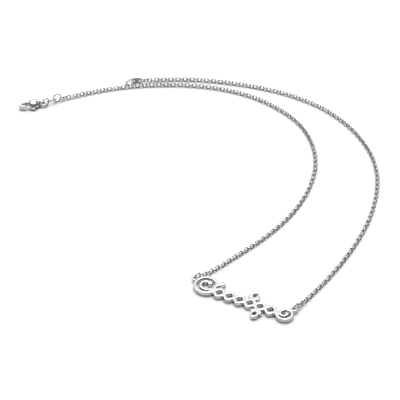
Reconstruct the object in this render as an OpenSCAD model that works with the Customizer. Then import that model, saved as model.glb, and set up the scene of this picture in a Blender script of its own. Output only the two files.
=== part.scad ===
// Nameplate necklace, lying open on a flat surface.
// Origin: centre of the nameplate's back, on the surface. +X along the nameplate, +Y to its top, +Z up.
// All lengths are in millimetres, all angles in degrees.

/* [Nameplate] */
// Thickness of the plate
plate_t = 1.5; // [1.3:0.05:2]
// Width of the braid's two strands
strand_w = 1.1; // [1.05:0.05:1.3]
// Width of a volute's stroke at its inner end
curl_w = 0.9; // [0.75:0.05:1]
// Length of the braid between the two volutes
braid_len = 21; // [20:0.2:22]
// Height of the braid from trough to crest, along the strands' middle
braid_h = 3.4; // [3.2:0.05:3.6]
// Number of loops in the braid
loops = 6; // [5:1:7]
// Length of the two large petals
petal_len = 4; // [3.8:0.1:4.2]
// Outer width of a large petal
petal_w = 2.7; // [2.5:0.05:2.8]
// Width of the rim round a large petal's opening
petal_rim = 0.75; // [0.65:0.05:0.8]
// Length of a small petal
bud_len = 2.3; // [2.1:0.1:2.6]
// Greatest width of a small petal
bud_w = 1.2; // [1:0.05:1.3]
// Outer radius of the large volute's middle line
volute_r = 4; // [3.6:0.1:4.4]
// Outer radius of the closing volute's middle line
closing_r = 2.6; // [2.4:0.05:2.8]
// Radius that rounds the inner corners of the scrollwork
corner_fillet = 0.12; // [0.04:0.02:0.2]

/* [Eyelets] */
// Radius of an eyelet's hole
eyelet_bore_r = 0.6; // [0.55:0.05:0.65]
// Width of the rim round an eyelet's hole
eyelet_rim = 0.62; // [0.55:0.01:0.68]
// Thickness of an eyelet, which is thinner than the plate
eyelet_t = 0.8; // [0.7:0.05:0.85]

/* [Jump rings] */
// Wire of the two jump rings at the nameplate
jump_wire = 0.42; // [0.36:0.02:0.46]
// Outer diameter of those jump rings
jump_od = 2.7; // [2.66:0.02:2.9]
// How far a jump ring's middle stands off the eyelet's middle
jump_offset = 1; // [0.95:0.01:1.05]

/* [Chain] */
// Width of the chain across its links
chain_w = 1.65; // [1.4:0.05:1.8]
// Clear space between a chain's end and the ring next to it
chain_gap = 0.15; // [0.1:0.05:0.4]

/* [Back ring and clasp link] */
// Wire of the back ring
back_wire = 0.4; // [0.34:0.02:0.44]
// Outer diameter of the back ring
back_od = 3.4; // [3.3:0.05:3.6]
// Wire of the oval clasp link
link_wire = 0.4; // [0.34:0.02:0.44]
// Outer length of the oval clasp link
link_len = 3.8; // [3.7:0.05:3.9]
// Outer width of the oval clasp link
link_w = 2.2; // [2.1:0.05:2.3]
// Height of the oval clasp link's middle
link_z = 1.3; // [1.2:0.05:1.4]
// How far the oval clasp link leans
link_lean = 25; // [15:1:30]

/* [Clasp] */
// Wire of the ring in the clasp's tail
clasp_ring_wire = 0.4; // [0.34:0.02:0.44]
// Outer diameter of that ring
clasp_ring_od = 2.9; // [2.86:0.02:3]
// How far that ring's middle stands off the tail hole's middle
clasp_ring_offset = 1; // [0.95:0.01:1.05]
// Length of the clasp from its tail to the tip of its hook
clasp_len = 10.2; // [10:0.1:10.6]
// Width of the clasp across its housing
clasp_w = 4.4; // [4.2:0.05:4.6]
// Height of the clasp's domed housing
clasp_t = 2.9; // [2.75:0.05:3.05]
// Thickness of the clasp's hook
hook_t = 1.7; // [1.6:0.05:1.8]
// How far the hook's underside lies above the housing's
hook_lift = 0.1; // [0.05:0.05:0.2]
// Breadth of the hook's metal round its eye
hook_wall = 1; // [0.9:0.05:1.15]
// Thickness of the tail round its hole
tail_t = 0.8; // [0.7:0.05:0.85]
// Radius of the hole in the tail
tail_bore_r = 0.7; // [0.65:0.05:0.75]
// Width of the rim round the tail's hole
tail_rim = 0.6; // [0.55:0.05:0.65]
// Thickness of the lever
lever_t = 0.8; // [0.7:0.05:0.9]
// Breadth of the lever's arm
lever_w = 0.8; // [0.7:0.05:0.9]
// How far the lever's thumb tab stands out of the clasp's side
thumb_out = 0.5; // [0.3:0.1:0.8]
// Height of the rivet's lower end above the surface
rivet_z = 0.05; // [0.02:0.01:0.1]
// Radius of the rivet
rivet_r = 0.35; // [0.3:0.05:0.4]
// Radial clearance round the rivet
rivet_gap = 0.06; // [0.05:0.01:0.08]
// Clearance above and below the lever in its slot
slot_gap = 0.1; // [0.1:0.05:0.15]
// Clearance between the end of the lever and the tip of the hook
gate_gap = 0.2; // [0.15:0.05:0.3]

/* [End tag and ring] */
// Length of the tag
tag_len = 4; // [3.8:0.1:4.4]
// Width of the tag
tag_w = 2.2; // [2:0.1:2.6]
// Thickness of the tag
tag_t = 0.45; // [0.4:0.05:0.5]
// Radius of the two holes in the tag
tag_bore_r = 0.45; // [0.42:0.01:0.5]
// Distance from a tag's hole to the tag's end
tag_rim = 0.3; // [0.25:0.05:0.4]
// How far the tag leans back from upright
tag_lean = 20; // [10:1:25]
// Wire of the end ring
end_wire = 0.4; // [0.34:0.02:0.42]
// Outer diameter of the end ring
end_od = 3.4; // [3.2:0.05:3.8]

/* [Hidden] */
$fn = 48;

// Colours of the polished white metal
bright = [0.86, 0.86, 0.85];
mid = [0.74, 0.74, 0.73];
eps = 0.01;

// Places along the nameplate. The braid runs from the large volute to the closing one.
loop_count = round(loops);
loop_len = braid_len / loop_count;
braid_w = min(strand_w, 0.35 * loop_len);           // a strand stays narrower than its tightest bend
braid_x0 = -braid_len * 0.417;                      // keeps the braid on the plate's origin
braid_x1 = braid_x0 + braid_len;
foot_y = -braid_h * 0.647;                          // height of the feet of both volutes
volute_c = [braid_x0 - volute_r * 0.86, foot_y + volute_r];
volute_turn = 570;
volute_in_r = volute_r * 0.29;
closing_c = [braid_x1 + closing_r * 1.13, foot_y + closing_r];
closing_turn = 470;
closing_in_r = closing_r * 0.23;
closing_w = braid_w * 0.88;                         // width of the closing volute's stroke at its foot
up_loop = floor(loop_count / 2) + 1;                   // loops that carry the upper and the lower large petal
down_loop = up_loop + 1;
eyelet_r = eyelet_bore_r + eyelet_rim;

// Eyelets: each sits on the outer turn of its volute
eyelet_left = volute_c + (volute_r * 0.88 + braid_w * 0.05 + eyelet_r) * dir(168);
eyelet_right = closing_c + (closing_r * 0.9 + closing_w * 0.14 + eyelet_r) * dir(65);

// Routes of the two chains in plan. The last point of each list is worked out below.
left_route = [
    [-100.7, 82.1], [-92, 90.3], [-82.1, 97.1], [-71.3, 102.3], [-59.8, 105.4], [-47.7, 105.7],
    [-36.1, 102.9], [-25.5, 97.6], [-16.9, 89.2], [-10.5, 78.8], [-6.8, 67.6], [-5.1, 55.8],
    [-5.3, 43.9], [-7.3, 32], [-10.6, 20.3], [-14.2, 9]
];
right_route = [
    [-82.8, 100.8], [-72.1, 106.4], [-60.8, 110.2], [-49, 112.6], [-37.1, 113.3], [-25.1, 111.6],
    [-14.1, 107.3], [-4.1, 100.7], [4.4, 92.3], [11, 82.1], [15.4, 71], [18.3, 59.3],
    [19.8, 47.4], [20.1, 35.5], [19.5, 23.5], [18.1, 11.6]
];
chain_rings = 40;
chain_sides = 8;

// Directions in plan, as angles from +X
jump_left_dir = 68;
jump_right_dir = 78;
back_dir = 50;
clasp_ring_dir = 61;
clasp_dir = 220;
end_dir = 33.4;

// Rings in plan
jump_left_c = eyelet_left + jump_offset * dir(jump_left_dir);
jump_right_c = eyelet_right + jump_offset * dir(jump_right_dir);
back_c = [-110.1, 70.35];
clasp_ring_c = [-112.5, 66.4];
to_clasp = (clasp_ring_c - back_c) / norm(clasp_ring_c - back_c);
link_dir = atan2(to_clasp[1], to_clasp[0]);
link_gap = 0.15;                                    // clear space between the link and the clasp's tail
tail_r = tail_bore_r + tail_rim;
link_c = clasp_ring_c - (tail_r - clasp_ring_offset + link_gap + link_len / 2) * to_clasp;
end_c = [-93, 93.5];
tag_z = tag_w / 2 * cos(tag_lean) + tag_t / 2 * sin(tag_lean);
end_lift = tag_z - end_wire / 2;                    // how much higher the ring lies where it passes the tag
end_tilt = asin(end_lift / (end_od - end_wire));

// Ends of the chains, each just clear of its ring or tag
left_from = back_c + (back_od / 2 + chain_gap) * dir(back_dir);
left_to = jump_left_c + (jump_od / 2 + chain_gap) * dir(jump_left_dir);
right_to = jump_right_c + (jump_od / 2 + chain_gap) * dir(jump_right_dir);
tag_hole_x = tag_len / 2 - tag_rim - tag_bore_r;
tag_c = end_c + ((end_od - end_wire) / 2 * cos(end_tilt) + tag_hole_x) * dir(end_dir);
right_from = tag_c + (tag_len / 2 + chain_gap) * dir(end_dir);

// Clasp, in its own frame: x from the tail's end to the hook's tip, +y the side of the lever
tail_hole = clasp_ring_c - clasp_ring_offset * dir(clasp_ring_dir);
clasp_at = tail_hole - tail_r * dir(clasp_dir);
tail_z = clasp_ring_od / 2 - 0.45 - tail_t / 2;
pivot = [3.6, 0.5];
lever_eye_r = 0.8;
housing_x = 5;
hook_r = clasp_w / 2 - 0.6;
hook_x = clasp_len - hook_r;
gate_x0 = 6.2;
gate_x1 = hook_x - 0.75;
arm_y = clasp_w / 2 - 0.6 - lever_w / 2;
arm_bend = [5.6, arm_y];                            // where the lever's arm turns along the clasp
thumb_r = 0.4;                                      // radius of the thumb tab's rounded ends
thumb = [[4.9, clasp_w / 2 + thumb_out - thumb_r], [6, clasp_w / 2 - 0.5], [4.6, 0.9]];
eye_room = 0.15;                                    // clearance round the lever's eye in its slot
hook_step = 0.15;                                   // how far the hook stands in from the housing's sides
neck_len = 1.5;                                     // length of the bar between the tail and the housing
slot_t = lever_t + 2 * slot_gap;
lever_z = hook_lift + (hook_t - lever_t) / 2;       // the lever closes on the middle of the hook's tip
waist_z = clasp_t * 0.42;                           // height at which the housing is broadest
front_r = clasp_w / 2;                              // the dome's round ends in plan: front, spine and tail side
spine_r = front_r * 0.73;
spine_at = [4.2, spine_r - front_r];
narrow_r = front_r * 0.59;
narrow_at = [tail_r + tail_bore_r + narrow_r, -front_r * 0.16];
rivet_top = clasp_t * 0.79;

function dir(a) = [cos(a), sin(a)];
function mix(a, b, t) = a + (b - a) * t;

// Points of a spiral that winds from radius r0 to r1 while its angle goes from a0 to a1
function spiral(c, r0, r1, a0, a1, n) =
    [for (i = [0:n]) c + mix(r0, r1, pow(i / n, 1.2)) * dir(mix(a0, a1, i / n))];

// Points of a curve from p to q that leans towards m
function bend(p, m, q, n) =
    [for (i = [0:n]) let (t = i / n) p * (1 - t) * (1 - t) + m * 2 * t * (1 - t) + q * t * t];

// Unit normal, to the left, of a line of points at point i
function side(pts, i) =
    let (last = len(pts) - 1, d = pts[min(i + 1, last)] - pts[max(i - 1, 0)]) [-d[1], d[0]] / norm(d);

// Outline of a stroke along pts, with its width at each point
function stroke_outline(pts, widths) = concat(
    [for (i = [0:len(pts) - 1]) pts[i] + side(pts, i) * widths[i] / 2],
    [for (i = [len(pts) - 1:-1:0]) pts[i] - side(pts, i) * widths[i] / 2]
);

// A stroke that tapers from w0 to w1 and has round ends
module stroke(pts, w0, w1) {
    last = len(pts) - 1;
    polygon(stroke_outline(pts, [for (i = [0:last]) mix(w0, w1, i / last)]));
    translate(pts[0]) circle(d = w0, $fn = 24);
    translate(pts[last]) circle(d = w1, $fn = 24);
}

// A spiral stroke that ends in a round bud
module volute(c, r0, r1, a0, a1, w0, w1, bud) {
    steps = ceil(abs(a1 - a0) / 9);
    stroke(spiral(c, r0, r1, a0, a1, steps), w0, w1);
    translate(c + r1 * dir(a1)) circle(r = bud, $fn = 28);
}

// A petal from p towards angle a, broadest past its middle and blunt at both ends
module petal(p, a, length, width) {
    steps = 16;
    half = [for (i = [0:steps]) let (t = i / steps)
        [length * t, width / 2 * mix(0.12, 1, pow(max(0, sin(180 * pow(t, 1.25))), 0.8))]];
    translate(p) rotate(a)
        polygon(concat(half, [for (i = [steps:-1:0]) [half[i][0], -half[i][1]]]));
}

// A large petal with a pierced middle, between two small ones
module petal_spray(p, a) {
    difference() {
        petal(p, a, petal_len, petal_w);
        offset(r = -petal_rim, $fn = 32) petal(p, a, petal_len, petal_w);
    }
    for (s = [-1, 1]) petal(p + bud_w * 0.2 * dir(a), a + s * 58, bud_len, bud_w);
}

// Point of a strand's middle line, t loops along the braid. Its first lobe is up if lobe is 1, down if it is -1.
function strand_at(t, lobe) =
    [braid_x0 + t * loop_len, lobe * braid_h / 2 * sin(180 * t)];
// Direction of that line, as its run and its rise
function strand_run(t, lobe) = [loop_len, lobe * braid_h / 2 * PI * cos(180 * t)];
// Top or foot of loop i: up is 1 or -1
function crest(i, up) = strand_at(i - 0.5, up * (i % 2 == 1 ? 1 : -1));

// One strand. At each end it runs on to a volute's foot if it comes from below, or else into the volute's side.
module strand(lobe) {
    steps = loop_count * 18;
    start = strand_at(0, lobe);
    end = strand_at(loop_count, lobe);
    before = strand_run(0, lobe);
    after = strand_run(loop_count, lobe);
    stroke([for (i = [0:steps]) strand_at(loop_count * i / steps, lobe)], braid_w, braid_w);
    if (before[1] < 0) stroke([start, volute_c + [volute_r * 0.7, 0]], braid_w, braid_w);
    else stroke(foot_bend(start, before, volute_c[0]), braid_w, braid_w);
    if (after[1] > 0) stroke([end, closing_c - closing_r * [0.6, 0.16]], braid_w, closing_w);
    else stroke(foot_bend(end, after, closing_c[0]), braid_w, closing_w);
}

// Points of an easy bend from p, which lies on a line along d, to a volute's foot at foot_x
function foot_bend(p, d, foot_x) =
    bend(p, [p[0] + (foot_y - p[1]) * d[0] / d[1], foot_y], [foot_x, foot_y], 12);

module scrollwork() {
    for (lobe = [-1, 1]) strand(lobe);
    volute(volute_c, volute_r, volute_in_r, 270, 270 - volute_turn, braid_w, curl_w * 1.1, curl_w * 0.94);
    volute(closing_c, closing_r, closing_in_r, 270, 270 + closing_turn, closing_w, curl_w * 0.85, curl_w * 0.75);
    petal_spray(crest(up_loop, 1), 90);
    petal_spray(crest(down_loop, -1), 270);
    // A small petal that sprouts from the large volute
    petal(volute_c + (volute_r - braid_w * 0.8) * dir(14), 52, bud_len * 1.35, bud_w * 1.2);
}

module nameplate() {
    color(bright)
        difference() {
            union() {
                linear_extrude(plate_t)
                    offset(r = -corner_fillet, $fn = 24) offset(delta = corner_fillet) scrollwork();
                for (e = [eyelet_left, eyelet_right])
                    translate([e[0], e[1], plate_t - eyelet_t]) cylinder(r = eyelet_r, h = eyelet_t);
            }
            for (e = [eyelet_left, eyelet_right])
                translate([e[0], e[1], -eps]) cylinder(r = eyelet_bore_r, h = plate_t + 2 * eps);
        }
}

// A round wire ring about Z
module wire_ring(od, wire) {
    rotate_extrude() translate([(od - wire) / 2, 0]) circle(d = wire);
}

// A ring that stands upright on the surface, its plane along angle a
module upright_ring(c, a, od, wire) {
    translate([c[0], c[1], od / 2]) rotate([0, 0, a]) rotate([90, 0, 0]) wire_ring(od, wire);
}

module jump_ring_left() {
    color(mid) upright_ring(jump_left_c, jump_left_dir, jump_od, jump_wire);
}

module jump_ring_right() {
    color(mid) upright_ring(jump_right_c, jump_right_dir, jump_od, jump_wire);
}

module back_ring() {
    color(mid) upright_ring(back_c, back_dir, back_od, back_wire);
}

module clasp_ring() {
    color(mid) upright_ring(clasp_ring_c, clasp_ring_dir, clasp_ring_od, clasp_ring_wire);
}

// An oval wire link in the XY plane, long along X
module oval_link(length, width, wire) {
    r = (width - wire) / 2;
    straight = length - width;
    for (half = [0, 180])
        rotate(half) {
            translate([straight / 2, 0, 0]) rotate(-90) rotate_extrude(angle = 180)
                translate([r, 0]) circle(d = wire);
            translate([-straight / 2, r, 0]) rotate([0, 90, 0]) cylinder(d = wire, h = straight);
        }
}

module clasp_link() {
    color(mid)
        translate([link_c[0], link_c[1], link_z]) rotate([0, 0, link_dir]) rotate([link_lean, 0, 0])
            oval_link(link_len, link_w, link_wire);
}

// Chain: the outer form of the links, swept along the route

// Point at t between p1 and p2 on the smooth curve through p0, p1, p2 and p3
function curve_point(p0, p1, p2, p3, t) =
    0.5 * (2 * p1 + (p2 - p0) * t + (2 * p0 - 5 * p1 + 4 * p2 - p3) * t * t
        + (3 * p1 - p0 - 3 * p2 + p3) * t * t * t);

// Point at u, counted in points, on the smooth curve through all of pts
function along(pts, u) =
    let (last = len(pts) - 1, i = min(floor(u), last - 1))
    curve_point(pts[max(i - 1, 0)], pts[i], pts[i + 1], pts[min(i + 2, last)], u - i);

// Rings of the tube: its centre line lies half its width above the surface, with a flat side down
function tube_points(pts, width) =
    let (last = len(pts) - 1, r = width / 2 / cos(180 / chain_sides))
    [for (i = [0:chain_rings - 1])
        let (
            u = last * i / (chain_rings - 1),
            p = along(pts, u),
            d = along(pts, min(u + 0.01, last)) - along(pts, max(u - 0.01, 0)),
            n = [-d[1], d[0]] / norm(d)
        )
        for (j = [0:chain_sides - 1])
            let (a = 360 * (j + 0.5) / chain_sides)
            [p[0] + n[0] * r * cos(a), p[1] + n[1] * r * cos(a), width / 2 + r * sin(a)]
    ];

function tube_faces() = concat(
    [[for (j = [0:chain_sides - 1]) j]],
    [for (i = [0:chain_rings - 2], j = [0:chain_sides - 1])
        let (a = i * chain_sides, b = a + chain_sides, k = (j + 1) % chain_sides) [a + j, b + j, b + k, a + k]],
    [[for (j = [chain_sides - 1:-1:0]) (chain_rings - 1) * chain_sides + j]]
);

module chain_tube(pts) {
    color(mid) polyhedron(tube_points(pts, chain_w), tube_faces(), convexity = 8);
}

module chain_left() {
    chain_tube(concat([left_from], left_route, [left_to]));
}

module chain_right() {
    chain_tube(concat([right_from], right_route, [right_to]));
}

// Clasp

module in_clasp() {
    translate([clasp_at[0], clasp_at[1], 0]) rotate([0, 0, clasp_dir]) children();
}

// One round end of the housing's dome: p is its place, r its radius in plan and rise its height above the waist
module dome_end(p, r, rise) {
    translate([p[0], p[1], waist_z]) scale([r, r, rise]) sphere(r = 1, $fn = 40);
}

// Domed housing with a straight spine, flat underneath and cut off square where the hook's eye begins
module housing() {
    rise = clasp_t - waist_z;
    intersection() {
        hull() {
            dome_end(narrow_at, narrow_r, rise * 0.8);
            dome_end(spine_at, spine_r, rise * 0.95);
            dome_end([housing_x, 0], front_r, rise);
        }
        translate([0, -clasp_w, 0]) cube([gate_x0, 2 * clasp_w, clasp_t + 1]);
    }
}

module hook_outline() {
    hull() {
        translate([housing_x, 0]) circle(r = clasp_w / 2 - hook_step);
        translate([hook_x, 0]) circle(r = hook_r);
    }
}

// The eye that the hook closes round
module eye_outline() {
    hull() {
        translate([gate_x0 + 0.8, 0]) circle(r = clasp_w / 2 - 2 * hook_step - hook_wall);
        translate([hook_x, 0]) circle(r = hook_r - hook_wall);
    }
}

module clasp_body() {
    color(bright) in_clasp()
        difference() {
            union() {
                translate([tail_r, 0, tail_z]) cylinder(r = tail_r, h = tail_t);
                housing();
                translate([tail_r, -tail_bore_r, tail_z]) cube([neck_len, 2 * tail_bore_r, tail_t]);
                translate([0, 0, hook_lift])
                    linear_extrude(hook_t)
                        difference() {
                            hook_outline();
                            translate([0, -clasp_w]) square([gate_x0 - 0.5, 2 * clasp_w]);
                        }
            }
            translate([0, 0, -eps]) linear_extrude(clasp_t + 1) eye_outline();
            translate([gate_x0, 0, -eps]) cube([gate_x1 - gate_x0, clasp_w, clasp_t + 1]);
            translate([pivot[0] - lever_eye_r - eye_room, pivot[1] - lever_eye_r - eye_room, lever_z - slot_gap])
                cube([clasp_len / 2 - 0.5, clasp_w, slot_t]);
            translate([tail_r, 0, -eps]) cylinder(r = tail_bore_r, h = clasp_t + 1);
            translate([pivot[0], pivot[1], -eps]) cylinder(r = rivet_r + rivet_gap, h = clasp_t + 1);
        }
}

module lever_outline() {
    hull() {
        translate(pivot) circle(r = lever_eye_r);
        translate(arm_bend) circle(d = lever_w);
    }
    hull() {
        translate(arm_bend) circle(d = lever_w);
        translate([gate_x1 - gate_gap - lever_w / 2, arm_y]) circle(d = lever_w);
    }
    hull()
        for (p = thumb) translate(p) circle(r = thumb_r);
}

module clasp_lever() {
    color(bright) in_clasp()
        translate([0, 0, lever_z])
            difference() {
                linear_extrude(lever_t) lever_outline();
                translate([pivot[0], pivot[1], -eps]) cylinder(r = rivet_r + rivet_gap, h = lever_t + 2 * eps);
            }
}

module clasp_rivet() {
    color(mid) in_clasp()
        translate([pivot[0], pivot[1], rivet_z]) cylinder(r = rivet_r, h = rivet_top - rivet_z);
}

module end_tag() {
    color(bright)
        translate([tag_c[0], tag_c[1], tag_z])
            rotate([0, 0, end_dir]) rotate([90 - tag_lean, 0, 0])
                translate([0, 0, -tag_t / 2])
                    difference() {
                        linear_extrude(tag_t)
                            hull()
                                for (s = [-1, 1])
                                    translate([s * (tag_len - tag_w) / 2, 0]) circle(d = tag_w);
                        for (s = [-1, 1])
                            translate([s * tag_hole_x, 0, -eps]) cylinder(r = tag_bore_r, h = tag_t + 2 * eps);
                    }
}

module end_ring() {
    color(mid)
        translate([end_c[0], end_c[1], end_wire / 2 + end_lift / 2])
            rotate([0, 0, end_dir]) rotate([0, -end_tilt, 0]) wire_ring(end_od, end_wire);
}

nameplate();
jump_ring_left();
jump_ring_right();
chain_left();
chain_right();
back_ring();
clasp_link();
clasp_ring();
clasp_body();
clasp_lever();
clasp_rivet();
end_tag();
end_ring();
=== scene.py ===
"""A nameplate necklace in rhodium-plated silver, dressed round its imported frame.

Lengths are in metres. +X runs along the nameplate, +Y to its top and +Z up from the surface.
"""

import logging
import math
import random
from dataclasses import dataclass
from enum import Enum

import bpy
from mathutils import Matrix, Vector


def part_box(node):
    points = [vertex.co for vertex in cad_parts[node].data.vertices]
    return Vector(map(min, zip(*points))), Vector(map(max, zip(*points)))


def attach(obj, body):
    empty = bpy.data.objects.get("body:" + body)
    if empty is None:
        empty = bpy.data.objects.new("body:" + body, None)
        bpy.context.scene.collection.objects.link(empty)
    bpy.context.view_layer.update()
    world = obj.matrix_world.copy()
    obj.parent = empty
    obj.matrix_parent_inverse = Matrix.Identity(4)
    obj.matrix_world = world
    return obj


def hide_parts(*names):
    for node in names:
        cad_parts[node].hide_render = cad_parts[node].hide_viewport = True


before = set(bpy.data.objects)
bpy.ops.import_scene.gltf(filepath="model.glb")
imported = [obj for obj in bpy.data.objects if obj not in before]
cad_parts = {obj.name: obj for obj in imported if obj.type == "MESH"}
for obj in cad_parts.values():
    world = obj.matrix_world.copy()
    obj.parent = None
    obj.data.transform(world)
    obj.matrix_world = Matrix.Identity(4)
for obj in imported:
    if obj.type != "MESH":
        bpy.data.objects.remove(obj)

log = logging.getLogger("necklace")

MM = 0.001
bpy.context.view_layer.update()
BODY = "necklace"
LEVER_BODY = "lever"
# A Mix node's sockets for the two colours and for what it mixes from them
MIX_A, MIX_B, MIX_RESULT = 6, 7, 2


def linear(hex_colour: str) -> tuple[float, float, float, float]:
    """Turns an sRGB hex colour into the linear RGBA that a shader takes, by the standard's own curve.

    Args:
        hex_colour: Six hex digits after a hash sign.

    Returns:
        Red, green, blue and an alpha of 1.
    """
    values = [int(hex_colour[i:i + 2], 16) / 255 for i in (1, 3, 5)]
    lin = [v / 12.92 if v <= 0.04045 else ((v + 0.055) / 1.055) ** 2.4 for v in values]
    return (lin[0], lin[1], lin[2], 1.0)


def add_node(
    tree: bpy.types.NodeTree,
    kind: str,
    links: dict[str | int, bpy.types.NodeSocket] | None = None,
    **settings: object,
) -> bpy.types.Node:
    """Adds one node with its settings and its incoming links.

    Args:
        tree: The node tree that gets the node.
        kind: Blender's name of the node type.
        links: Name or number of an input, and the output socket that feeds it.
        **settings: An input's value under its name with underscores, or else a property of the node.

    Returns:
        The new node.
    """
    node = tree.nodes.new(kind)
    for name, value in settings.items():
        label = name.replace("_", " ")
        if label in node.inputs:
            node.inputs[label].default_value = value
        else:
            setattr(node, name, value)
    for name, socket in (links or {}).items():
        tree.links.new(socket, node.inputs[name])
    return node


def deselect() -> None:
    """Leaves nothing selected and nothing active."""
    bpy.ops.object.select_all(action="DESELECT")
    bpy.context.view_layer.objects.active = None


def activate(obj: bpy.types.Object) -> None:
    """Selects one object alone and makes it active.

    Args:
        obj: The object.
    """
    deselect()
    obj.select_set(True)
    bpy.context.view_layer.objects.active = obj


# Finishes


@dataclass(frozen=True)
class PlatedMetal:
    """A plated white metal: soft ripples bend its reflections and a fine grain breaks them.

    The ripples stand for the slow waves, a millimetre or two wide, that polishing leaves. The grain
    stands for its marks. They are only a few thousandths of a millimetre wide, so the grain is drawn as
    coarse as it needs to show close up. Along the tone's range the ripples turn the shade into the
    tint. Along the grain's range the roughness goes from its glossiest share to its dullest.
    """

    name: str
    tint: str
    shade: str
    roughness: float
    ripple_mm: float
    ripple_depth_mm: float
    grain_mm: float
    grain_depth_mm: float
    ripple_detail: float = 2.0
    grain_detail: float = 4.0
    tone_from: float = 0.35
    tone_to: float = 0.7
    grain_from: float = 0.3
    grain_to: float = 0.75
    glossiest: float = 0.8
    dullest: float = 1.35

    def build(self) -> bpy.types.Material:
        """Builds the node material.

        Returns:
            The material, ready for a mesh's slot.
        """
        mat = bpy.data.materials.new(self.name)
        mat.use_nodes = True
        tree = mat.node_tree
        shader = tree.nodes["Principled BSDF"]
        shader.inputs["Metallic"].default_value = 1.0
        place = add_node(tree, "ShaderNodeTexCoord").outputs["Object"]
        # Object coordinates are in metres, so a scale of 1 / size gives a pattern of that size
        ripple = add_node(
            tree, "ShaderNodeTexNoise", {"Vector": place},
            Scale=1 / (self.ripple_mm * MM), Detail=self.ripple_detail,
        )
        grain = add_node(
            tree, "ShaderNodeTexNoise", {"Vector": place},
            Scale=1 / (self.grain_mm * MM), Detail=self.grain_detail,
        )
        tone = add_node(
            tree, "ShaderNodeMapRange", {"Value": ripple.outputs["Fac"]},
            From_Min=self.tone_from, From_Max=self.tone_to,
        )
        colour = add_node(tree, "ShaderNodeMix", {"Factor": tone.outputs["Result"]}, data_type="RGBA")
        colour.inputs[MIX_A].default_value = linear(self.shade)
        colour.inputs[MIX_B].default_value = linear(self.tint)
        tree.links.new(colour.outputs[MIX_RESULT], shader.inputs["Base Color"])
        gloss = add_node(
            tree, "ShaderNodeMapRange", {"Value": grain.outputs["Fac"]},
            From_Min=self.grain_from, From_Max=self.grain_to,
            To_Min=self.roughness * self.glossiest, To_Max=self.roughness * self.dullest,
        )
        tree.links.new(gloss.outputs["Result"], shader.inputs["Roughness"])
        waves = add_node(
            tree, "ShaderNodeBump", {"Height": ripple.outputs["Fac"]}, Distance=self.ripple_depth_mm * MM,
        )
        marks = add_node(
            tree, "ShaderNodeBump", {"Height": grain.outputs["Fac"], "Normal": waves.outputs["Normal"]},
            Distance=self.grain_depth_mm * MM,
        )
        tree.links.new(marks.outputs["Normal"], shader.inputs["Normal"])
        return mat


@dataclass(frozen=True)
class StudioPaper:
    """Matt white paper under the necklace."""

    name: str
    colour: str
    roughness: float

    def build(self) -> bpy.types.Material:
        """Builds the paper's material.

        Returns:
            The material.
        """
        mat = bpy.data.materials.new(self.name)
        mat.use_nodes = True
        shader = mat.node_tree.nodes["Principled BSDF"]
        shader.inputs["Base Color"].default_value = linear(self.colour)
        shader.inputs["Roughness"].default_value = self.roughness
        shader.inputs["Specular IOR Level"].default_value = 0.0
        return mat


# Rhodium-plated sterling silver, cast and polished: its light grey mirrors the bright room as near
# white, and slow ripples let light areas flow into grey
CAST = PlatedMetal(
    name="cast_rhodium_plated_silver", tint="#C0BFBD", shade="#B6B5B3", roughness=0.2,
    ripple_mm=2.4, ripple_depth_mm=0.012, grain_mm=0.12, grain_depth_mm=0.0015,
)
# The same silver and plating on the clasp, which was only tumbled: a softer gloss that spreads the
# highlights
TUMBLED = PlatedMetal(
    name="tumbled_rhodium_plated_silver", tint="#CAC9C7", shade="#BFBEBC", roughness=0.36,
    ripple_mm=2.0, ripple_depth_mm=0.006, grain_mm=0.12, grain_depth_mm=0.0015,
)
# The same plating on the tag, stamped from sheet: matt, so that paper and room run into one mid grey
STAMPED = PlatedMetal(
    name="stamped_rhodium_plated_silver", tint="#D4D3D1", shade="#C9C8C6", roughness=0.5,
    ripple_mm=1.6, ripple_depth_mm=0.004, grain_mm=0.10, grain_depth_mm=0.0015,
)
# The same plating on drawn round wire, in a darker grey that is painted shade: a thin wire mirrors the
# dim room on both sides
WIRE = PlatedMetal(
    name="drawn_rhodium_plated_silver_painted_shade", tint="#A6A5A3", shade="#989795", roughness=0.14,
    ripple_mm=1.2, ripple_depth_mm=0.006, grain_mm=0.10, grain_depth_mm=0.001,
)
# Machine-made chain of plated wire: a light grey that looks darker, for its links mirror one another
CHAIN = PlatedMetal(
    name="rhodium_plated_silver_chain", tint="#C2C1BF", shade="#ACABA9", roughness=0.2,
    ripple_mm=1.4, ripple_depth_mm=0.004, grain_mm=0.10, grain_depth_mm=0.001,
)
# Matt coated paper, lit so strongly that it shows as plain white
PAPER = StudioPaper(name="matt_white_paper", colour="#F0F0F0", roughness=0.9)


class Slot(Enum):
    """Names of the record's material slots, which the pieces built here don't take."""

    CAST = "cast_metal"
    CHAIN = "chain_wire"


def finish_piece(obj: bpy.types.Object, mat: bpy.types.Material, body: str) -> None:
    """Gives a new piece its material and slot, and lets it ride on its body.

    Args:
        obj: The piece, with its place in its mesh.
        mat: Its finish.
        body: The body that carries it.
    """
    obj.data.materials.clear()
    obj.data.materials.append(mat)
    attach(obj, body)


# Cast pieces


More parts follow.
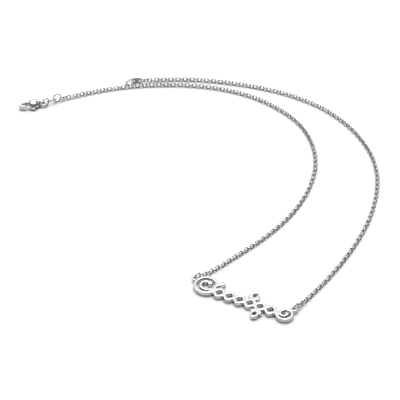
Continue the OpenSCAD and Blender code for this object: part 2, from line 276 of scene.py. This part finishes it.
@dataclass
class CastPiece:
    """A cast or stamped piece, tumbled until all its edges and joints ran round.

    The frame's shape gets an even skin of small faces, which is then smoothed. Voxels under 0.1 mm
    aren't allowed, so the mesh is made large for it and shrunk again.
    """

    node: str
    skin_mm: float = 0.06
    smoothing: int = 12
    body: str = BODY
    enlarged: float = 100.0
    weld_mm: float = 0.0015
    smoothing_step: float = 0.5

    def scale(self, factor: float) -> None:
        """Scales the active mesh about the frame's origin.

        Args:
            factor: New size over old size.
        """
        bpy.ops.object.mode_set(mode="EDIT")
        bpy.ops.mesh.select_all(action="SELECT")
        bpy.ops.transform.resize(value=(factor,) * 3, center_override=(0, 0, 0))
        bpy.ops.object.mode_set(mode="OBJECT")

    def build(self, mat: bpy.types.Material) -> bpy.types.Object:
        """Copies the node's mesh, gives it the even skin and smooths it.

        Args:
            mat: The finish.

        Returns:
            The new piece, which replaces the node.
        """
        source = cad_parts[self.node]
        piece = bpy.data.objects.new(f"{self.node}_cast", source.data.copy())
        bpy.context.scene.collection.objects.link(piece)
        activate(piece)
        # The frame's meshes are loose triangles, so what lies on one spot is merged first
        bpy.ops.object.mode_set(mode="EDIT")
        bpy.ops.mesh.select_all(action="SELECT")
        bpy.ops.mesh.remove_doubles(threshold=self.weld_mm * MM)
        bpy.ops.object.mode_set(mode="OBJECT")
        self.scale(self.enlarged)
        skin = piece.modifiers.new("even_skin", "REMESH")
        skin.mode = "VOXEL"
        skin.voxel_size = self.skin_mm * MM * self.enlarged
        bpy.ops.object.modifier_apply(modifier=skin.name)
        tumbled = piece.modifiers.new("tumbled", "SMOOTH")
        tumbled.factor = self.smoothing_step
        tumbled.iterations = self.smoothing
        bpy.ops.object.modifier_apply(modifier=tumbled.name)
        self.scale(1 / self.enlarged)
        bpy.ops.object.shade_smooth()
        finish_piece(piece, mat, self.body)
        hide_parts(self.node)
        log.info("%s: %d faces", piece.name, len(piece.data.polygons))
        return piece


# Chain


@dataclass(frozen=True)
class LinkSize:
    """One oval link of the cable chain, drawn wire bent and soldered shut.

    It has few faces, for it is repeated hundreds of times. They are counted around the link's oval,
    and as sides of its wire.
    """

    wire: float = 0.43 * MM
    length: float = 2.2 * MM
    width: float = 1.65 * MM
    pitch: float = 1.33 * MM
    around: int = 12
    sides: int = 6

    @property
    def reach(self) -> float:
        """From the link's middle to the middle of its end wire."""
        return (self.length - self.wire) / 2


@dataclass
class Chain:
    """Half of the necklace's chain, from its hook point at the plate to its other hook point.

    Each pair of leans holds a share of the chain's length and how far its links have rolled there, in
    degrees. Between the pairs the roll changes evenly, and each link strays from it by up to the
    unevenness. At a hook the chain takes a few turning links to get there. Two heights say where the
    middles of unrolled links lie: those that stand and those that lie flat.
    """

    name: str
    node: str
    route_mm: tuple[tuple[float, float], ...]
    start: Vector
    end: Vector
    leans: tuple[tuple[float, float], ...]
    size: LinkSize = LinkSize()
    standing_z: float = 0.835 * MM
    lying_z: float = 0.62 * MM
    unevenness: float = math.radians(5)
    turning_links: int = 4
    steps: int = 40

    def curve(self) -> list[Vector]:
        """Samples the smooth curve through the hook points and the route.

        Returns:
            Points along the curve, a fixed number of steps from one route point to the next.
        """
        laid = [Vector((x * MM, y * MM, self.lying_z)) for x, y in self.route_mm]
        pts = [self.start, *laid, self.end]
        out = []
        for i in range(len(pts) - 1):
            p0, p1, p2, p3 = pts[max(i - 1, 0)], pts[i], pts[i + 1], pts[min(i + 2, len(pts) - 1)]
            for k in range(self.steps):
                t = k / self.steps
                out.append(0.5 * (
                    2 * p1 + (p2 - p0) * t + (2 * p0 - 5 * p1 + 4 * p2 - p3) * t * t
                    + (3 * p1 - p0 - 3 * p2 + p3) * t ** 3
                ))
        out.append(pts[-1])
        return out

    def places(self) -> list[tuple[Vector, Vector]]:
        """Works out each link's middle and direction.

        Returns:
            One pair of middle and unit direction for each link.
        """
        pts = self.curve()
        marks = [0.0]
        for a, b in zip(pts, pts[1:]):
            marks.append(marks[-1] + (b - a).length)
        reach = self.size.reach
        count = round((marks[-1] - 2 * reach) / self.size.pitch) + 1
        # An odd number of links, so that the first and the last both lie flat
        count += (count + 1) % 2
        pitch = (marks[-1] - 2 * reach) / (count - 1)

        def at(s: float) -> Vector:
            """Point of the curve at length s along it."""
            i = max(k for k, m in enumerate(marks[:-1]) if m <= s)
            return pts[i].lerp(pts[i + 1], (s - marks[i]) / (marks[i + 1] - marks[i]))

        out = []
        for k in range(count):
            s = reach + k * pitch
            front, back = at(min(s + reach, marks[-1])), at(s - reach)
            out.append((at(s), (front - back).normalized()))
        return out

    def lean_at(self, share: float) -> float:
        """Works out how far the links lean at one place.

        Args:
            share: Share of the chain's length.

        Returns:
            The lean in radians.
        """
        for (s0, lean0), (s1, lean1) in zip(self.leans, self.leans[1:]):
            if share <= s1:
                return math.radians(lean0 + (lean1 - lean0) * (share - s0) / (s1 - s0))
        return math.radians(self.leans[-1][1])

    def leaning_z(self, lean: float, lying: bool) -> float:
        """Works out the height of a leaning link's middle.

        It rests on the surface, or hangs in its neighbours where it lies too flat for that.

        Args:
            lean: The lean in radians.
            lying: Whether the link lies flat, and doesn't stand, at no lean.

        Returns:
            The height.
        """
        size = self.size
        upright = abs(math.sin(lean) if lying else math.cos(lean))
        return max(self.lying_z, (size.width - size.wire) / 2 * upright + size.wire / 2)

    def link(self) -> bpy.types.Object:
        """Models one link in the XY plane, long along X, from a torus that is pulled apart.

        Returns:
            The link, as a pattern to copy.
        """
        size = self.size
        deselect()
        # Half a step's turn keeps its rounds of vertices off x = 0, where the two halves part
        bpy.ops.mesh.primitive_torus_add(
            major_segments=size.around, minor_segments=size.sides,
            major_radius=(size.width - size.wire) / 2, minor_radius=size.wire / 2,
            rotation=(0, 0, math.pi / size.around),
        )
        obj = bpy.context.active_object
        bpy.ops.object.transform_apply(location=True, rotation=True, scale=True)
        for side in (-1, 1):
            bpy.ops.object.mode_set(mode="EDIT")
            bpy.ops.mesh.select_all(action="DESELECT")
            bpy.ops.object.mode_set(mode="OBJECT")
            for v in obj.data.vertices:
                v.select = v.co.x * side > 0
            bpy.ops.object.mode_set(mode="EDIT")
            bpy.ops.transform.translate(value=(side * (size.length - size.width) / 2, 0, 0))
            bpy.ops.object.mode_set(mode="OBJECT")
        bpy.ops.object.shade_smooth()
        return obj

    def build(self, mat: bpy.types.Material) -> bpy.types.Object:
        """Lays copies of the link along the route, each a quarter turn from the last, and joins them.

        At its hooks every other link stands upright. Within a few links the chain rolls into its lean.
        The draws are seeded with the number of links, so each run gives the same chain.

        Args:
            mat: The finish.

        Returns:
            The chain as one mesh.
        """
        pattern = self.link()
        copies = []
        places = self.places()
        chance = random.Random(len(places))
        for k, (middle, along) in enumerate(places):
            lying = k % 2 == 0
            rolled = min(1.0, k / self.turning_links, (len(places) - 1 - k) / self.turning_links)
            lean = self.lean_at(k / len(places)) + chance.uniform(-self.unevenness, self.unevenness)
            roll = lean * rolled + (0.0 if lying else math.pi / 2)
            across = Vector((0, 0, 1)).cross(along).normalized()
            up = along.cross(across)
            turn = Matrix((along, across, up)).transposed().to_4x4() @ Matrix.Rotation(roll, 4, "X")
            upright_z = self.lying_z if lying else self.standing_z
            lift = upright_z + (self.leaning_z(lean, lying) - upright_z) * rolled - self.lying_z
            copy = bpy.data.objects.new(f"{self.name}_{k}", pattern.data.copy())
            copy.data.transform(Matrix.Translation(middle + Vector((0, 0, lift))) @ turn)
            bpy.context.scene.collection.objects.link(copy)
            copies.append(copy)
        bpy.data.objects.remove(pattern)
        deselect()
        for copy in copies:
            copy.select_set(True)
        bpy.context.view_layer.objects.active = copies[0]
        bpy.ops.object.join()
        chain = bpy.context.active_object
        chain.name = self.name
        finish_piece(chain, mat, BODY)
        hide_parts(self.node)
        log.info("%s: %d links, %d faces", self.name, len(copies), len(chain.data.polygons))
        return chain


def plan(angle: float) -> Vector:
    """Unit vector in plan, at an angle in degrees from +X."""
    return Vector((math.cos(math.radians(angle)), math.sin(math.radians(angle)), 0))


def middle_of(node: str) -> Vector:
    """Middle of a node's box."""
    low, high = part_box(node)
    return (low + high) / 2


@dataclass
class ChainPair:
    """Both halves of the chain, hooked to the frame's rings and tag.

    The routes are those of the frame's chains. Angles are in degrees and point from the middle of a
    ring or the tag to where its chain hooks in, and the lengths after them say how far out that is.
    """

    left_route_mm: tuple[tuple[float, float], ...] = (
        (-14.2, 9), (-10.6, 20.3), (-7.3, 32), (-5.3, 43.9), (-5.1, 55.8), (-6.8, 67.6), (-10.5, 78.8),
        (-16.9, 89.2), (-25.5, 97.6), (-36.1, 102.9), (-47.7, 105.7), (-59.8, 105.4), (-71.3, 102.3),
        (-82.1, 97.1), (-92, 90.3), (-100.7, 82.1),
    )
    right_route_mm: tuple[tuple[float, float], ...] = (
        (18.1, 11.6), (19.5, 23.5), (20.1, 35.5), (19.8, 47.4), (18.3, 59.3), (15.4, 71), (11, 82.1),
        (4.4, 92.3), (-4.1, 100.7), (-14.1, 107.3), (-25.1, 111.6), (-37.1, 113.3), (-49, 112.6),
        (-60.8, 110.2), (-72.1, 106.4), (-82.8, 100.8),
    )
    left_angle: float = 68.0
    right_angle: float = 78.0
    back_angle: float = 50.0
    tag_angle: float = 33.4
    in_jump_ring: float = 0.6 * MM
    in_back_ring: float = 0.85 * MM
    tag_hole: float = 1.25 * MM
    hook_z: float = 1.0 * MM

    def hook(self, node: str, angle: float, out: float, z: float) -> Vector:
        """Works out where the middle of an end link's wire passes through a ring or a hole.

        Args:
            node: The ring or tag.
            angle: Direction from its middle towards the chain.
            out: Distance from its middle.
            z: Height.

        Returns:
            The point.
        """
        p = middle_of(node) + out * plan(angle)
        return Vector((p.x, p.y, z))

    def build(self, mat: bpy.types.Material) -> None:
        """Builds both chains.

        Args:
            mat: The finish.
        """
        left = Chain(
            name="left_chain_links", node="chain_left", route_mm=self.left_route_mm,
            start=self.hook("jump_ring_left", self.left_angle, self.in_jump_ring, self.hook_z),
            end=self.hook("back_ring", self.back_angle, self.in_back_ring, self.hook_z),
            leans=(
                (0, -42), (0.2, -48), (0.32, -68), (0.42, -90),
                (0.5, -104), (0.56, -72), (0.7, -78), (1, -82),
            ),
        )
        left.build(mat)
        right = Chain(
            name="right_chain_links", node="chain_right", route_mm=self.right_route_mm,
            start=self.hook("jump_ring_right", self.right_angle, self.in_jump_ring, self.hook_z),
            end=self.hook("end_tag", self.tag_angle, self.tag_hole, middle_of("end_tag").z),
            leans=(
                (0, -46), (0.2, -54), (0.34, -74), (0.43, -92),
                (0.5, -104), (0.56, -72), (0.7, -78), (1, -82),
            ),
        )
        right.build(mat)


# Rings, clasp link and rivet


@dataclass
class Findings:
    """Rings, clasp link and rivet, which keep the frame's shape and get a finish.

    Edges that turn by more than the sharp angle stay sharp.
    """

    names: tuple[str, ...] = (
        "jump_ring_left", "jump_ring_right", "back_ring", "clasp_link", "clasp_ring", "clasp_rivet",
        "end_ring",
    )
    sharp_angle: float = math.radians(40)

    def dress(self, mat: bpy.types.Material) -> None:
        """Smooths and finishes each of them.

        Args:
            mat: The finish.
        """
        for name in self.names:
            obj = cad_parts[name]
            obj.data.materials.clear()
            obj.data.materials.append(mat)
            activate(obj)
            bpy.ops.object.shade_smooth_by_angle(angle=self.sharp_angle)
            log.info("%s dressed", name)


# Studio


@dataclass(frozen=True)
class Softbox:
    """A square lamp that faces the necklace: where it hangs, its side and its power."""

    name: str
    place: tuple[float, float, float]
    width: float
    watts: float


@dataclass
class Studio:
    """Camera, lights and floor at the photograph's angle.

    Angles are in degrees. The glow's edge and its full strength lie at cosines of the angle from its
    middle. The horizon's low and high mark are heights of a direction of length 1, and between them
    the light rises from its share at the horizon to all of it.
    """

    look_at: Vector = Vector((-35.7, 41.3, 0.0)) * MM
    distance: float = 529.9 * MM
    azimuth: float = 28.0
    elevation: float = 36.28
    lens: float = 142.66
    floor_size: float = 6.0
    clip: tuple[float, float] = (0.01, 20.0)
    sky_light: float = 1.15
    room_light: float = 0.06
    sky_elevation: float = 50.0
    glow_edge: float = 0.5
    glow_full: float = 0.85
    horizon_light: float = 0.15
    horizon_low: float = 0.08
    horizon_high: float = 0.22
    softboxes: tuple[Softbox, ...] = (
        Softbox("back_softbox", (-0.57, 1.05, 1.07), 1.7, 3.0),
        Softbox("top_key", (-0.27, 0.39, 1.45), 1.4, 21.0),
    )

    def camera(self) -> None:
        """Puts the camera where the photograph was taken from."""
        a, e = math.radians(self.azimuth), math.radians(self.elevation)
        back = Vector((math.sin(a) * math.cos(e), -math.cos(a) * math.cos(e), math.sin(e)))
        data = bpy.data.cameras.new("camera")
        data.lens = self.lens
        data.clip_start, data.clip_end = self.clip
        cam = bpy.data.objects.new("camera", data)
        cam.location = self.look_at + back * self.distance
        cam.rotation_euler = (-back).to_track_quat("-Z", "Y").to_euler()
        bpy.context.scene.collection.objects.link(cam)
        bpy.context.scene.camera = cam

    def hang(self, box: Softbox) -> None:
        """Adds one softbox.

        Args:
            box: Its place, size and power.
        """
        data = bpy.data.lights.new(box.name, "AREA")
        data.size = box.width
        data.energy = box.watts
        lamp = bpy.data.objects.new(box.name, data)
        lamp.location = box.place
        lamp.rotation_euler = (self.look_at - lamp.location).to_track_quat("-Z", "Y").to_euler()
        bpy.context.scene.collection.objects.link(lamp)

    def floor(self) -> None:
        """Lays the paper floor."""
        deselect()
        bpy.ops.mesh.primitive_plane_add(size=self.floor_size, location=(0, 0, 0))
        floor = bpy.context.active_object
        floor.name = "paper_floor"
        floor.data.materials.append(PAPER.build())

    def room(self) -> None:
        """Makes a room that is bright overhead and beyond the necklace, and dim elsewhere.

        The glow fades with the angle from its middle. Towards the horizon all of it gets dimmer.
        """
        a, e = math.radians(self.azimuth), math.radians(self.sky_elevation)
        sky = (-math.sin(a) * math.cos(e), math.cos(a) * math.cos(e), math.sin(e))
        world = bpy.data.worlds.new("studio_room")
        world.use_nodes = True
        tree = world.node_tree
        place = add_node(tree, "ShaderNodeTexCoord").outputs["Generated"]
        towards = add_node(tree, "ShaderNodeVectorMath", {0: place}, operation="DOT_PRODUCT")
        towards.inputs[1].default_value = sky
        glow = add_node(
            tree, "ShaderNodeMapRange", {"Value": towards.outputs["Value"]},
            From_Min=self.glow_edge, From_Max=self.glow_full,
            To_Min=self.room_light, To_Max=self.sky_light,
        )
        height = add_node(tree, "ShaderNodeSeparateXYZ", {"Vector": place}).outputs["Z"]
        wall = add_node(
            tree, "ShaderNodeMapRange", {"Value": height},
            From_Min=self.horizon_low, From_Max=self.horizon_high, To_Min=self.horizon_light,
        )
        strength = add_node(
            tree, "ShaderNodeMath", {0: glow.outputs["Result"], 1: wall.outputs["Result"]},
            operation="MULTIPLY",
        )
        tree.nodes["Background"].inputs["Color"].default_value = linear("#FFFFFF")
        tree.links.new(strength.outputs["Value"], tree.nodes["Background"].inputs["Strength"])
        bpy.context.scene.world = world
        bpy.context.scene.view_settings.view_transform = "Standard"

    def build(self) -> None:
        """Sets up the floor, the room and the lamps."""
        self.floor()
        self.room()
        for box in self.softboxes:
            self.hang(box)


def main() -> None:
    """Builds the studio and every piece in order, and notes the sizes."""
    logging.basicConfig(level=logging.INFO, format="%(name)s: %(message)s")
    studio = Studio()
    studio.camera()
    cast, tumbled, stamped = CAST.build(), TUMBLED.build(), STAMPED.build()
    wire, chain = WIRE.build(), CHAIN.build()
    ChainPair().build(chain)
    CastPiece("nameplate", skin_mm=0.1, smoothing=40).build(cast)
    CastPiece("end_tag", skin_mm=0.05, smoothing=6).build(stamped)
    CastPiece("clasp_body").build(tumbled)
    CastPiece("clasp_lever", body=LEVER_BODY).build(tumbled)
    Findings().dress(wire)
    studio.build()


if __name__ == "__main__":
    main()
